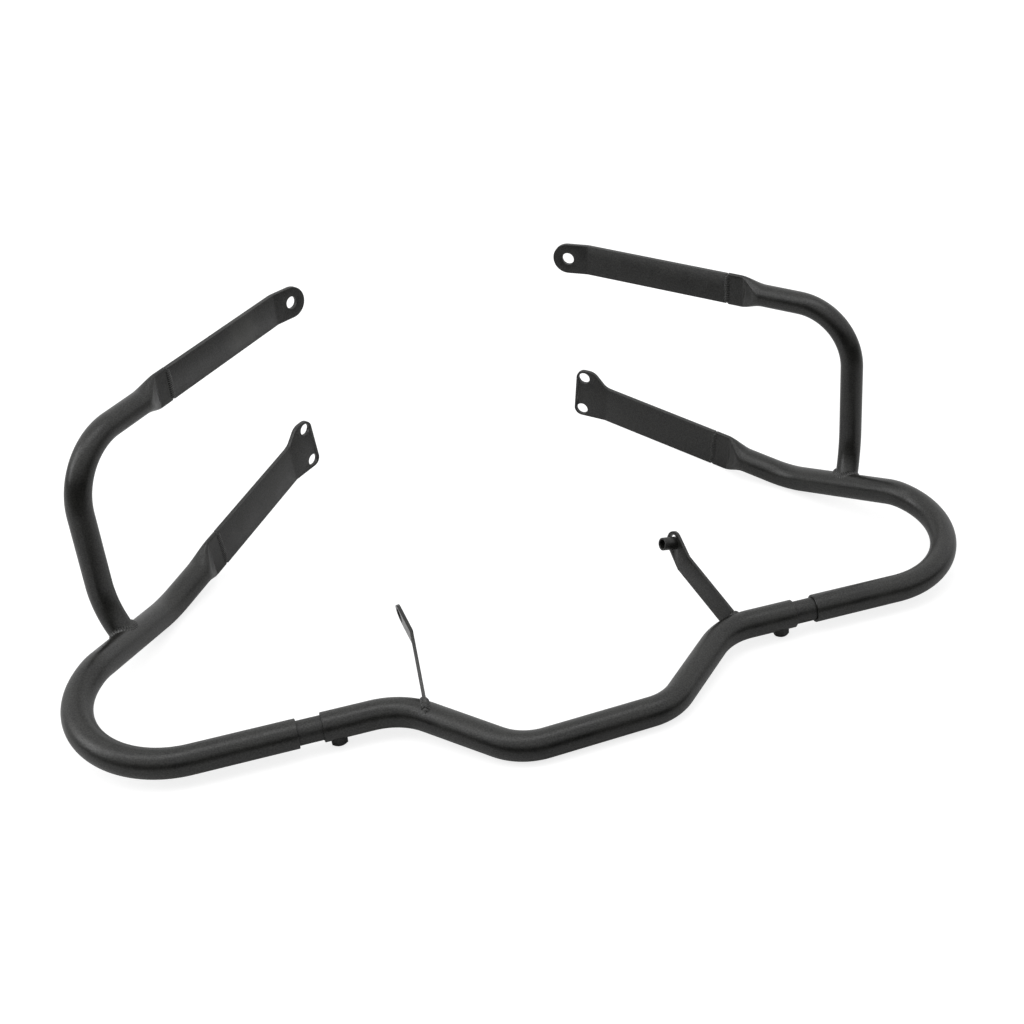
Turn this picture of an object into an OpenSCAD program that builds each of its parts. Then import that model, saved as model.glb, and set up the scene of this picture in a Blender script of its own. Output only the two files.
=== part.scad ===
// Crash bars for a motorcycle: two looped side guards, a bent centre tube that joins
// them on inner sleeves, flat straps to the frame and two small hanger tabs.
// Units are millimetres. +X points to the part's right side, +Y to the back (towards
// the strap ends), +Z up. The floor it lies on is z = 0 and x = 0 is the mirror plane.
// The right side is drawn, and the left side is its mirror image.

/* [Tubes] */
// Outer diameter of the main tubes
tube_d = 25.4; // [22:0.1:28]
// Wall of the main tubes
tube_wall = 2; // [1.5:0.1:3]
// Outer diameter of the thinner upper tube on each guard
upper_d = 22.8; // [19:0.1:25]
// Wall of the upper tubes
upper_wall = 1.8; // [1.2:0.1:2.5]

/* [Placing] */
// Where the line through both joints lies in Y, so that the origin is in the middle
joint_y = -179.05; // [-190:0.1:-170]
// Height of the axis through both joints
joint_z = 19.3; // [14:0.1:26]

/* [Main loop] */
// Half of the distance between the open ends of the two guards
guard_end_x = 231; // [222:0.5:250]
// Outer front corner of the loop, before rounding
corner_a = [452.4, 0, 19.3]; // [-500:0.1:500]
// Outer rear corner of the loop
corner_b = [379.8, 129.4, 39.8]; // [-500:0.1:500]
// Low corner in front of the flattened end
corner_c = [314.6, 250.8, 11.02]; // [-500:0.1:500]
// Weld line between the loop tube and the lower strap
loop_end = [257.7, 322, 24.7]; // [-500:0.1:500]
// Bend radius at the outer front corner
radius_a = 80.7; // [60:0.1:82]
// Bend radius at the outer rear corner
radius_b = 67.7; // [40:0.1:75]
// Bend radius at the low corner
radius_c = 94.6; // [60:0.1:110]

/* [Upper tube] */
// Distance from the outer rear corner of the loop to its foot
branch_at = 65.6; // [55:0.1:80]
// Corner at its foot
branch_1 = [364.3, 206.8, 47.5]; // [-500:0.1:500]
// Corner at its top
branch_2 = [366.8, 207.8, 205.4]; // [-500:0.1:500]
// Weld line between the upper tube and the upper strap
branch_end = [274, 310.5, 210.1]; // [-500:0.1:500]
// Bend radius at its foot
branch_radius_1 = 64.7; // [56:0.1:70]
// Bend radius at its top
branch_radius_2 = 59.9; // [45:0.1:70]

/* [Pressed ends] */
// Length over which a round end is pressed flat
press_len = 26; // [18:0.5:34]
// Length that is fully flat
flat_len = 14; // [8:0.5:20]
// Thickness of a flat end
flat_t = 5; // [4.6:0.1:8]
// Width of the flat end of the loop tube
loop_flat_w = 41.2; // [34:0.1:44]
// Width of the flat end of the upper tube
upper_flat_w = 34.4; // [30:0.1:38]

/* [Straps] */
// Thickness of the straps
strap_t = 5; // [4:0.1:8]
// Root gap that the weld fills between a strap and its tube
root_gap = 1.6; // [0.8:0.1:3]
// Width of the upper strap
upper_strap_w = 32; // [28:0.1:34]
// Length of the upper strap from the weld line to its fold
upper_strap_len = 163.5; // [130:0.5:180]
// Angle of the fold near the end of the upper strap
upper_fold = 15.4; // [0:0.1:45]
// From that fold to the middle of the hole
upper_hole_x = 19.2; // [18:0.1:40]
// Width of the lower strap
lower_strap_w = 39.4; // [34:0.1:42]
// Length of the lower strap from the weld line to its fold
lower_strap_len = 137; // [110:0.5:160]
// Angle of the fold in front of the end plate
lower_fold = 14.7; // [0:0.1:45]
// From that fold to the line of the two holes
lower_hole_x = 25.4; // [20:0.1:45]
// Distance between the two holes
hole_pitch = 38.7; // [30:0.1:45]
// Distance from the lower edge of the strap to the lower hole
hole_edge = 7.9; // [7.5:0.1:12]
// Diameter of the fixing holes
hole_d = 12.8; // [8:0.1:14]
// Corner radius of the end plate
plate_r = 8.8; // [8:0.1:12]
// Inner radius of the folds
fold_r = 14; // [4:0.5:30]

/* [Centre tube] */
// Half of its length from end to end
centre_end_x = 211; // [200:0.5:222]
// Corner between the joint axis and the slanted run
centre_x = 144.4; // [120:0.1:150]
// Half width of the middle run between its two corners
middle_x = 66; // [50:0.1:80]
// Left corner of the middle run in Y
middle_left_y = -86; // [-100:0.1:-60]
// Right corner of the middle run in Y
middle_right_y = -78.5; // [-100:0.1:-60]
// Bend radius at the joint side corners
centre_radius = 58; // [54:0.1:62]
// Bend radius at the corners of the middle run
middle_radius = 46.5; // [35:0.1:50]

/* [Joints] */
// Length of an inner sleeve in the centre tube
sleeve_in = 40; // [30:1:60]
// Length of an inner sleeve in the guard tube
sleeve_out = 55; // [30:1:80]
// Gap all round between the sleeve and the tubes
sleeve_gap = 0.2; // [0.1:0.05:0.4]
// Wall of the inner sleeve
sleeve_wall = 3; // [2:0.1:5]
// Where the clamp bolt sits
bolt_x = 199; // [180:0.5:200]
// Thread diameter of the clamp bolt
bolt_d = 8; // [6:0.5:10]
// Width across the flats of its head
bolt_af = 13; // [10:0.1:16]
// Height of its head
bolt_head = 6; // [4:0.1:6.2]

/* [Hanger tabs] */
// Thickness of the tab strip
tab_t = 3; // [2:0.1:5]
// Right tab: foot of the strip on the tube, lower edge
right_foot_low = [153.7, 11, 7.6]; // [-200:0.1:200]
// Right tab: foot of the strip on the tube, upper edge
right_foot_high = [160.9, 2.1, 23.9]; // [-200:0.1:200]
// Right tab: fold of the strip, lower edge
right_fold_low = [125.3, 63.5, 51.9]; // [-200:0.1:200]
// Right tab: fold of the strip, upper edge
right_fold_high = [132.5, 54.6, 68.2]; // [-200:0.1:200]
// Right tab: middle of the rounded tip and of its hole
right_tip = [127.2, 78.7, 72.3]; // [-200:0.1:200]
// Left tab: foot, lower edge, with X counted outwards as on the right
left_foot_low = [125.8, -2.5, 18.7]; // [-200:0.1:200]
// Left tab: foot, upper edge
left_foot_high = [127.9, -18, 32.5]; // [-200:0.1:200]
// Left tab: fold, lower edge
left_fold_low = [121, 55, 43.7]; // [-200:0.1:200]
// Left tab: fold, upper edge
left_fold_high = [122.4, 48, 61.3]; // [-200:0.1:200]
// Left tab: middle of the rounded tip and of its hole
left_tip = [125.2, 79.5, 58.9]; // [-200:0.1:200]
// Radius of the rounded tip
tab_r = 9.5; // [8:0.1:12]
// Diameter of the hole in the tip
tab_hole_d = 13; // [10:0.1:14]
// Outer diameter of the bush on the right tab
bush_d = 11.8; // [8:0.1:13]
// Bore of the bush
bush_bore = 8.2; // [5:0.1:10]
// Length of the bush
bush_len = 16; // [8:0.5:24]
// How far the bush sits off the middle of its hole
bush_off = 1.6; // [0.9:0.1:2.5]

/* [Welds] */
// Reach of the fillet weld around the foot of the upper tube
branch_bead = 3; // [1.5:0.1:5]
// Radius of the bead over the strap joints
strap_bead = 2.6; // [1.8:0.1:4]
// Height of that bead over the flat
bead_rise = 1.1; // [0.5:0.1:2]
// Reach of the weld around the foot of a tab
tab_bead = 2.4; // [1:0.1:4]

/* [Hidden] */
$fn = 64;
tube_r = tube_d / 2;
upper_r = upper_d / 2;
sleeve_r = tube_r - tube_wall - sleeve_gap;
branch_0 = corner_b + branch_at * (corner_c - corner_b) / norm(corner_c - corner_b);
// Bends reach this far into the straights and are thinner by the skin on each side, so
// that no two surfaces coincide
lap = 0.3;
skin = 0.02;
steel = [0.16, 0.16, 0.155];

function unit(v) = v / norm(v);
function turn(a, b, c) = acos(unit(b - a) * unit(c - b));
function cut(a, b, c, r) = r * tan(turn(a, b, c) / 2);
function across(u) = unit([0, 0, 1] - u[2] * u);
function arc(x, y, r, a0, a1, n) =
    [for (i = [0:n]) let(a = a0 + (a1 - a0) * i / n) [x + r * cos(a), y + r * sin(a)]];

// Places its children in a frame given by three axes and an origin
module frame(x, y, z, p) {
    multmatrix([
        [x[0], y[0], z[0], p[0]],
        [x[1], y[1], z[1], p[1]],
        [x[2], y[2], z[2], p[2]]
    ]) children();
}

// Z along u, X as near to straight up as it gets
module along(p, u) {
    x = across(u);
    frame(x, cross(u, x), u, p) children();
}

// X along u, Z as near to straight up as it gets
module strap_frame(p, u) {
    z = across(u);
    frame(u, cross(z, u), z, p) children();
}

// Right side as drawn, left side mirrored
module side(s) {
    translate([0, joint_y, 0]) {
        if (s > 0) children();
        if (s < 0) mirror([1, 0, 0]) children();
    }
}

module ring(ro, ri) {
    difference() {
        circle(ro);
        if (ri > 0) circle(ri);
    }
}

// Straight piece of tube from p to q
module straight(p, q, ro, ri) {
    u = unit(q - p);
    x = abs(u[2]) > 0.9 ? unit(cross([0, 1, 0], u)) : across(u);
    frame(x, cross(u, x), u, p) linear_extrude(norm(q - p)) ring(ro, ri);
}

// Bend of radius br at corner b on the way from a to c. It starts early by the length back.
module bend(a, b, c, br, ro, ri, back = lap) {
    u = unit(b - a);
    v = unit(c - b);
    ang = acos(u * v);
    start = b - u * br * tan(ang / 2);
    mid = b + unit(v - u) * br / cos(ang / 2);
    x = (start - mid) / br;
    early = back / br * 180 / PI;
    late = lap / br * 180 / PI;
    frame(x, u, cross(x, u), mid)
        rotate([0, 0, -early])
            rotate_extrude(angle = ang + early + late, $fn = 96)
                translate([br, 0]) ring(ro - skin, ri > 0 ? ri + skin : 0);
}

// Half of a tube's section when it is pressed to half thickness h: two half circles
// joined by flats. The girth stays, except for the spread of the rollers.
function pressed(r, h, spread, wall, grow) =
    let(flat = spread * PI * (r - h) / 2, n = 32, hh = max(h - wall, 0.5) + grow)
    [for (i = [0:n - 1])
        let(a = (i + 0.5) * 360 / n)
        [(cos(a) > 0 ? flat : -flat) + hh * cos(a), hh * sin(a)]];

function smooth(t) = t * t * (3 - 2 * t);

// End of a tube, pressed from round to flat. Z runs along the tube, X across the flat.
module pressed_end(r, wall, width) {
    n = 32;
    steps = 8;
    h1 = flat_t / 2;
    spread = (width - flat_t) / (PI * (r - h1));
    z_of = concat([for (k = [0:steps]) press_len * k / steps], [press_len + flat_len]);
    h_of = [for (k = [0:steps + 1]) r - (r - h1) * smooth(min(k / steps, 1))];
    outer = [for (k = [0:steps + 1]) for (q = pressed(r, h_of[k], spread, 0, -skin)) [q[0], q[1], z_of[k]]];
    inner = [for (k = [0:steps + 1]) for (q = pressed(r, h_of[k], spread, wall, 0.07)) [q[0], q[1], z_of[k]]];
    m = n * (steps + 2);
    last = n * (steps + 1);
    faces = concat(
        [for (k = [0:steps]) for (i = [0:n - 1]) let(j = (i + 1) % n)
            [k * n + i, k * n + n + i, k * n + n + j]],
        [for (k = [0:steps]) for (i = [0:n - 1]) let(j = (i + 1) % n)
            [k * n + i, k * n + n + j, k * n + j]],
        [for (k = [0:steps]) for (i = [0:n - 1]) let(j = (i + 1) % n)
            [m + k * n + i, m + k * n + n + j, m + k * n + n + i]],
        [for (k = [0:steps]) for (i = [0:n - 1]) let(j = (i + 1) % n)
            [m + k * n + i, m + k * n + j, m + k * n + n + j]],
        [for (i = [0:n - 1]) let(j = (i + 1) % n) [i, j, m + j]],
        [for (i = [0:n - 1]) let(j = (i + 1) % n) [i, m + j, m + i]],
        [for (i = [0:n - 1]) let(j = (i + 1) % n) [last + i, last + m + j, last + j]],
        [for (i = [0:n - 1]) let(j = (i + 1) % n) [last + i, last + m + i, last + m + j]]
    );
    polyhedron(points = concat(outer, inner), faces = faces, convexity = 6);
}

// Main loop tube of the right guard, from its open end to its flat end
module loop_tube() {
    a = corner_a;
    b = corner_b;
    c = corner_c;
    j = [guard_end_x, 0, joint_z];
    u = unit(b - a);
    v = unit(c - b);
    w = unit(loop_end - c);
    ta = cut(j, a, b, radius_a);
    tb = cut(a, b, c, radius_b);
    tc = cut(b, c, loop_end, radius_c);
    ri = tube_r - tube_wall;
    press = loop_end - w * (press_len + flat_len + root_gap / 2);
    straight(j, a - unit(a - j) * ta, tube_r, ri);
    bend(j, a, b, radius_a, tube_r, ri);
    straight(a + u * ta, b - u * tb, tube_r, ri);
    bend(a, b, c, radius_b, tube_r, ri);
    straight(b + v * tb, c - v * tc, tube_r, ri);
    bend(b, c, loop_end, radius_c, tube_r, ri);
    straight(c + w * tc, press + w * lap, tube_r, ri);
    along(press, w) pressed_end(tube_r, tube_wall, loop_flat_w);
}

// The loop tube's straight under the foot of the upper tube, as a solid bar
module loop_bar(r) {
    v = unit(corner_c - corner_b);
    straight(corner_b + v * 22, corner_c - v * 24, r, 0);
}

// Lowest bend of the upper tube. It starts inside the loop tube.
module upper_foot(ro, ri) {
    bend(branch_0, branch_1, branch_2, branch_radius_1, ro, ri, 8);
}

// Thinner upper tube, coped to sit on the loop tube
module upper_tube() {
    b = branch_1;
    c = branch_2;
    v = unit(c - b);
    w = unit(branch_end - c);
    t1 = cut(branch_0, b, c, branch_radius_1);
    t2 = cut(b, c, branch_end, branch_radius_2);
    ri = upper_r - upper_wall;
    press = branch_end - w * (press_len + flat_len + root_gap / 2);
    difference() {
        upper_foot(upper_r, ri);
        loop_bar(tube_r);
    }
    straight(b + v * t1, c - v * t2, upper_r, ri);
    bend(b, c, branch_end, branch_radius_2, upper_r, ri);
    straight(c + w * t2, press + w * lap, upper_r, ri);
    along(press, w) pressed_end(upper_r, upper_wall, upper_flat_w);
}

// Fillet weld around the foot of the upper tube
module branch_weld() {
    difference() {
        intersection() {
            upper_foot(upper_r + branch_bead, 0);
            loop_bar(tube_r + branch_bead);
        }
        loop_bar(tube_r);
        upper_foot(upper_r, 0);
    }
}

// Section of a folded strap seen from above: straight, fold, straight
module fold_section(len, ang, tail, t) {
    r = fold_r;
    ex = len + (r + t / 2) * sin(ang);
    ey = (r + t / 2) * (1 - cos(ang));
    e = [ex + tail * cos(ang), ey + tail * sin(ang)];
    side_out = t / 2 * [sin(ang), -cos(ang)];
    polygon(concat(
        [[root_gap / 2, -t / 2]],
        arc(len, r + t / 2, r + t, -90, ang - 90, 8),
        [e + side_out, e - side_out],
        arc(len, r + t / 2, r, ang - 90, -90, 8),
        [[root_gap / 2, t / 2]]
    ));
}

// A strap cut from flat bar: its outline is cut through the folded section
module strap(len, ang, tail, holes) {
    r = fold_r + strap_t / 2;
    difference() {
        intersection() {
            translate([0, 0, -60]) linear_extrude(120) fold_section(len, ang, tail, strap_t);
            translate([len + r * sin(ang), r * (1 - cos(ang)), 0]) rotate([0, 0, ang])
                rotate([90, 0, 0]) translate([0, 0, -150]) linear_extrude(300) children();
        }
        for (h = holes)
            translate([len + r * sin(ang), r * (1 - cos(ang)), 0]) rotate([0, 0, ang])
                translate([h[0], 0, h[1]]) rotate([90, 0, 0])
                    cylinder(d = hole_d, h = 3 * strap_t, center = true);
    }
}

// Upper strap with a round end around its one hole
module upper_strap() {
    h = upper_strap_w / 2;
    strap_frame(branch_end, unit(branch_end - branch_2))
        strap(upper_strap_len, upper_fold, upper_hole_x + h + 4, [[upper_hole_x, 0]])
            polygon(concat([[-220, h], [-220, -h]], arc(upper_hole_x, 0, h, -90, 90, 28)));
}

// Lower strap with an end plate that rises around the upper of its two holes
module lower_strap() {
    h = lower_strap_w / 2;
    x = lower_hole_x;
    low = hole_edge - h;
    top = low + hole_pitch;
    strap_frame(loop_end, unit(loop_end - corner_c))
        strap(lower_strap_len, lower_fold, x + plate_r + 4, [[x, low], [x, top]])
            polygon(concat(
                [[-220, h], [-220, -h]],
                arc(x, plate_r - h, plate_r, -90, 0, 10),
                arc(x, top, plate_r, 0, 90, 10),
                arc(x - 4.5, top - 5.2, plate_r + 5.2, 90, 138, 7),
                arc(x - 31, h + 12, 12, -40, -90, 8)
            ));
}

// Bead on both faces of a strap joint, with the weld metal in the root between them
module strap_weld(p, u, width) {
    drop = strap_bead - bead_rise;
    half = strap_t / 2;
    strap_frame(p, u) difference() {
        union() {
            for (s = [-1, 1]) translate([0, s * (half - drop), -width / 2])
                cylinder(r = strap_bead, h = width);
            translate([-root_gap / 2, 0.5 - half, -width / 2])
                cube([root_gap, strap_t - 1, width]);
        }
        translate([root_gap / 2, -half, -30]) cube([30, strap_t, 60]);
        translate([-30 - root_gap / 2, skin - flat_t / 2, -30]) cube([30, flat_t - 2 * skin, 60]);
    }
}

// Corner points of the centre tube from left to right
centre_path = [
    [-centre_end_x, 0, joint_z],
    [-centre_x, 0, joint_z],
    [-middle_x, middle_left_y, tube_r],
    [middle_x, middle_right_y, tube_r],
    [centre_x, 0, joint_z],
    [centre_end_x, 0, joint_z]
];
centre_radii = [0, centre_radius, middle_radius, middle_radius, centre_radius, 0];

// Run of tube along the corner points from i to j, cut short by the bends
module run(i, j, ro, ri) {
    path = centre_path;
    cuts = [for (k = [0:5])
        k == 0 || k == 5 ? 0 : cut(path[k - 1], path[k], path[k + 1], centre_radii[k])];
    for (k = [i:j - 1]) {
        u = unit(path[k + 1] - path[k]);
        straight(path[k] + u * cuts[k], path[k + 1] - u * cuts[k + 1], ro, ri);
    }
    for (k = [max(i, 1):min(j, 4)])
        bend(path[k - 1], path[k], path[k + 1], centre_radii[k], ro, ri);
}

module centre_body() {
    difference() {
        run(0, 5, tube_r, tube_r - tube_wall);
        for (s = [-1, 1]) translate([s * bolt_x, 0, 0])
            cylinder(d = bolt_d + 0.3, h = joint_z);
    }
}

// Inner sleeve that carries a guard on the centre tube
module sleeve() {
    x0 = centre_end_x - sleeve_in;
    x1 = guard_end_x + sleeve_out;
    difference() {
        translate([x0, 0, joint_z]) rotate([0, 90, 0]) linear_extrude(x1 - x0)
            ring(sleeve_r, sleeve_r - sleeve_wall);
        translate([bolt_x, 0, 0]) cylinder(d = bolt_d, h = joint_z);
    }
}

// Hexagon bolt from below through the centre tube into the sleeve. Its head is dished
// to the round of the tube.
module clamp_bolt() {
    seat = joint_z - tube_r + 0.6;
    translate([bolt_x, 0, 0]) {
        difference() {
            translate([0, 0, seat - 0.6 - bolt_head])
                cylinder(d = bolt_af / cos(30), h = bolt_head + 0.6, $fn = 6);
            translate([-15, 0, joint_z]) rotate([0, 90, 0]) cylinder(r = tube_r, h = 30);
        }
        translate([0, 0, seat - 3]) cylinder(d = bolt_d, h = 9.5);
    }
}

// A tab is given by a list p of the middle plane's points: foot low, foot high, fold low,
// fold high, tip. These are its directions: along the fold, across the two flats, and
// from the fold to the tip.
right_tab_points = [right_foot_low, right_foot_high, right_fold_low, right_fold_high, right_tip];
left_tab_points = [left_foot_low, left_foot_high, left_fold_low, left_fold_high, left_tip];
function fold_dir(p) = unit(p[3] - p[2]);
function fold_mid(p) = (p[3] + p[2]) / 2;
function lower_n(p) = unit(cross(p[2] - p[0], fold_dir(p)));
function upper_n(p) = unit(cross(p[4] - fold_mid(p), fold_dir(p)));
function foot_top(p) = p[1] - ((p[1] - p[0]) * lower_n(p)) * lower_n(p);
function tip_dir(p) = unit(p[4] - fold_mid(p));
function tip_side(p) = cross(upper_n(p), tip_dir(p));

// Folded flat strip with a round tip
module tab_body(p, t) {
    n1 = lower_n(p);
    n2 = upper_n(p);
    fold_n = unit(n1 + n2) / sqrt((1 + n1 * n2) / 2);
    tip_points = [for (i = [0:12]) let(a = -90 + i * 15)
        p[4] + tab_r * (cos(a) * tip_dir(p) + sin(a) * tip_side(p))];
    mid = concat([foot_top(p), p[0], p[2]], tip_points, [p[3]]);
    n = len(mid);
    normals = [for (i = [0:n - 1]) i < 2 ? n1 : (i == 2 || i == n - 1) ? fold_n : n2];
    upper = [for (i = [0:n - 1]) mid[i] - normals[i] * t / 2];
    lower = [for (i = [0:n - 1]) mid[i] + normals[i] * t / 2];
    tip = [for (i = [2:n - 1]) i];
    polyhedron(
        points = concat(upper, lower),
        faces = concat(
            [[0, 1, 2, n - 1], tip],
            [[n + n - 1, n + 2, n + 1, n], [for (i = [n - 1:-1:2]) n + i]],
            [for (i = [0:n - 1]) let(j = (i + 1) % n) [j, i, n + i]],
            [for (i = [0:n - 1]) let(j = (i + 1) % n) [j, n + i, n + j]]
        ),
        convexity = 4
    );
}

// Places a round thing across the tip of the tab, off its middle by d towards the fold
module at_tip(p, d) {
    frame(tip_dir(p), tip_side(p), upper_n(p), p[4] - d * tip_dir(p)) children();
}

// The bend of the centre tube under a tab's foot, as a solid bar. The middle run ends at
// y on that side.
module tab_bar(r, y) {
    bend([middle_x, y, tube_r], centre_path[4], centre_path[5], centre_radius, r, 0);
}

// Hanger tab, cut to the round of the centre tube at its foot
module tab(p, off, y) {
    difference() {
        tab_body(p, tab_t);
        tab_bar(tube_r, y);
        at_tip(p, 0) cylinder(d = tab_hole_d, h = 20, center = true);
        if (off > 0) at_tip(p, off) cylinder(d = bush_d, h = 20, center = true);
    }
}

// Block around the foot of the strip, wider and thicker than it by the reach of the weld
module foot_block(p) {
    d = unit(p[2] - p[0]);
    e = cross(lower_n(p), d);
    w = (foot_top(p) - p[0]) * e;
    skew = (foot_top(p) - p[0]) * d;
    frame(d, e, lower_n(p), p[0])
        translate([min(skew, 0) - 4, min(w, 0) - tab_bead, -tab_t / 2 - tab_bead])
            cube([abs(skew) + 24, abs(w) + 2 * tab_bead, tab_t + 2 * tab_bead]);
}

// Weld on both sides of the tab's foot
module tab_weld(p, y) {
    difference() {
        intersection() {
            foot_block(p);
            tab_bar(tube_r + tab_bead, y);
        }
        tab_bar(tube_r, y);
        tab_body(p, tab_t);
    }
}

// Hollow bush on the inner face of the right tab
module bush() {
    at_tip(right_tab_points, bush_off) translate([0, 0, -bush_len + tab_t / 2])
        linear_extrude(bush_len) ring(bush_d / 2, bush_bore / 2);
}

module left_loop_tube() { color(steel) side(-1) loop_tube(); }
module right_loop_tube() { color(steel) side(1) loop_tube(); }
module left_upper_tube() { color(steel) side(-1) upper_tube(); }
module right_upper_tube() { color(steel) side(1) upper_tube(); }
module centre_tube() { color(steel) translate([0, joint_y, 0]) centre_body(); }
module left_sleeve() { color(steel) side(-1) sleeve(); }
module right_sleeve() { color(steel) side(1) sleeve(); }
module left_clamp_bolt() { color(steel) side(-1) clamp_bolt(); }
module right_clamp_bolt() { color(steel) side(1) clamp_bolt(); }
module left_upper_strap() { color(steel) side(-1) upper_strap(); }
module right_upper_strap() { color(steel) side(1) upper_strap(); }
module left_lower_strap() { color(steel) side(-1) lower_strap(); }
module right_lower_strap() { color(steel) side(1) lower_strap(); }
module left_tab() { color(steel) side(-1) tab(left_tab_points, 0, middle_left_y); }
module right_tab() { color(steel) side(1) tab(right_tab_points, bush_off, middle_right_y); }
module tab_bush() { color(steel) side(1) bush(); }
module left_branch_weld() { color(steel) side(-1) branch_weld(); }
module right_branch_weld() { color(steel) side(1) branch_weld(); }
module left_upper_strap_weld() {
    color(steel) side(-1)
        strap_weld(branch_end, unit(branch_end - branch_2), upper_strap_w - 3);
}
module right_upper_strap_weld() {
    color(steel) side(1)
        strap_weld(branch_end, unit(branch_end - branch_2), upper_strap_w - 3);
}
module left_lower_strap_weld() {
    color(steel) side(-1)
        strap_weld(loop_end, unit(loop_end - corner_c), lower_strap_w - 3);
}
module right_lower_strap_weld() {
    color(steel) side(1)
        strap_weld(loop_end, unit(loop_end - corner_c), lower_strap_w - 3);
}
module left_tab_weld() { color(steel) side(-1) tab_weld(left_tab_points, middle_left_y); }
module right_tab_weld() { color(steel) side(1) tab_weld(right_tab_points, middle_right_y); }

left_loop_tube();
right_loop_tube();
left_upper_tube();
right_upper_tube();
centre_tube();
left_sleeve();
right_sleeve();
left_clamp_bolt();
right_clamp_bolt();
left_upper_strap();
right_upper_strap();
left_lower_strap();
right_lower_strap();
left_tab();
right_tab();
tab_bush();
left_branch_weld();
right_branch_weld();
left_upper_strap_weld();
right_upper_strap_weld();
left_lower_strap_weld();
right_lower_strap_weld();
left_tab_weld();
right_tab_weld();
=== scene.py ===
# %% [markdown]
# # Motorcycle crash bars
# Two looped guards of bent steel tube slide onto a bent centre tube, and folded flat straps
# carry them on the frame. The CAD model comes in as a fixed frame in metres. This lesson
# dresses it: smooth tubes with pressed ends, rippled welds, eased edges, powder coat,
# a studio floor and the camera of the photograph.

# %% Load the frame
import math
import bpy, bmesh
import numpy as np
from mathutils import Matrix


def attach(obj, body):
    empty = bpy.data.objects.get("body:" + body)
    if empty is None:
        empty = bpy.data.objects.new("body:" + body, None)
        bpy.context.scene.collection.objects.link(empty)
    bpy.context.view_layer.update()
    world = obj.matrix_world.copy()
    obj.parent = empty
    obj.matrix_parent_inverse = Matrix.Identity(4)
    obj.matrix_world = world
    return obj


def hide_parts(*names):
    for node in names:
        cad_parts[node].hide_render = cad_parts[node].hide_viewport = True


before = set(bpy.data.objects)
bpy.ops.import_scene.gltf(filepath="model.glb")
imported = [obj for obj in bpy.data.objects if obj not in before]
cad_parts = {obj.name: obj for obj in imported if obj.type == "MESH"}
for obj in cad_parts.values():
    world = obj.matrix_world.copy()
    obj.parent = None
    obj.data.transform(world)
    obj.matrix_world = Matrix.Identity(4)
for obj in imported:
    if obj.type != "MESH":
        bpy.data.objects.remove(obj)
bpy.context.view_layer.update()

# %% [markdown]
# ## Camera
# The photograph was fitted as a pinhole picture of two mirrored guards, which gives the
# camera's place, direction and focal length. The picture is cropped off its optical axis,
# so a small lens shift puts the frame where the crop has it.

# %% Camera of the photograph
PX = 1024
FOCAL_PX, CENTRE_PX = 1633.33, (750.54, 455.90)
EYE = (-0.274567, -1.320314, 0.842811)
RIGHT = (0.9270627, -0.3744327, -0.0188394)
DOWN = (-0.1915973, -0.4299872, -0.8822707)
AHEAD = (0.3222503, 0.8215298, -0.4703654)

lens = bpy.data.cameras.new("photo camera")
lens.sensor_width = 36.0
lens.lens = FOCAL_PX / PX * 36.0
lens.shift_x = (PX / 2 - CENTRE_PX[0]) / PX
lens.shift_y = (CENTRE_PX[1] - PX / 2) / PX
lens.clip_start, lens.clip_end = 0.05, 50
camera = bpy.data.objects.new("photo camera", lens)
bpy.context.scene.collection.objects.link(camera)
axes = Matrix([RIGHT, [-v for v in DOWN], [-v for v in AHEAD]]).transposed()
camera.matrix_world = Matrix.Translation(EYE) @ axes.to_4x4()
bpy.context.scene.camera = camera
print("lens %.1f mm, shift %.3f %.3f" % (lens.lens, lens.shift_x, lens.shift_y))

# %% [markdown]
# ## Measures
# The tubes, welds and bolts are drawn again as fine surfaces, from the same numbers as the
# CAD model. They are in millimetres from the middle of the line through both joints, for
# the right side. The left side is the mirror image.

# %% Measures of the bars
MM = 0.001
SIDES = ((1, "right"), (-1, "left"))
# Middle of the line through both joints, in the frame
ORIGIN = np.array([0.0, -179.05, 0.0])
# Outer radius and wall of the loops and the centre tube, then of the upper tubes
TUBE_R, TUBE_WALL, UPPER_R, UPPER_WALL = 12.7, 2.0, 11.4, 1.8
# Corners of each centre line from end to end, and the bend radius at each inner corner
JOINT_Z = 19.3
LOOP = np.array([[231, 0, JOINT_Z], [452.4, 0, JOINT_Z], [379.8, 129.4, 39.8],
                 [314.6, 250.8, 11.02], [257.7, 322, 24.7]])
LOOP_RADII = (80.7, 67.7, 94.6)
UPPER = np.array([[0, 0, 0], [364.3, 206.8, 47.5], [366.8, 207.8, 205.4], [274, 310.5, 210.1]])
UPPER_RADII = (64.7, 59.9)
CENTRE = np.array([[-211, 0, JOINT_Z], [-144.4, 0, JOINT_Z], [-66, -86, 12.7],
                   [66, -78.5, 12.7], [144.4, 0, JOINT_Z], [211, 0, JOINT_Z]])
CENTRE_RADII = (58, 46.5, 46.5, 58)
# The upper tube starts this far from LOOP[2] towards LOOP[3]
BRANCH_AT = 65.6
# Length of the press, length and thickness of the flat, and the gap at the weld's root
PRESS, FLAT, FLAT_T, ROOT = 26.0, 14.0, 5.0, 1.6
# Widths of the flats, then the straps' thickness and widths
LOOP_FLAT_W, UPPER_FLAT_W = 41.2, 34.4
STRAP_T, UPPER_STRAP_W, LOWER_STRAP_W = 5.0, 32.0, 39.4


def unit(v):
    """Vectors along the last axis, each divided by its own length."""
    v = np.asarray(v, float)
    return v / np.linalg.norm(v, axis=-1, keepdims=True)


UPPER[0] = LOOP[2] + BRANCH_AT * unit(LOOP[3] - LOOP[2])
print("foot of the upper tube at", UPPER[0].round(1))

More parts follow.
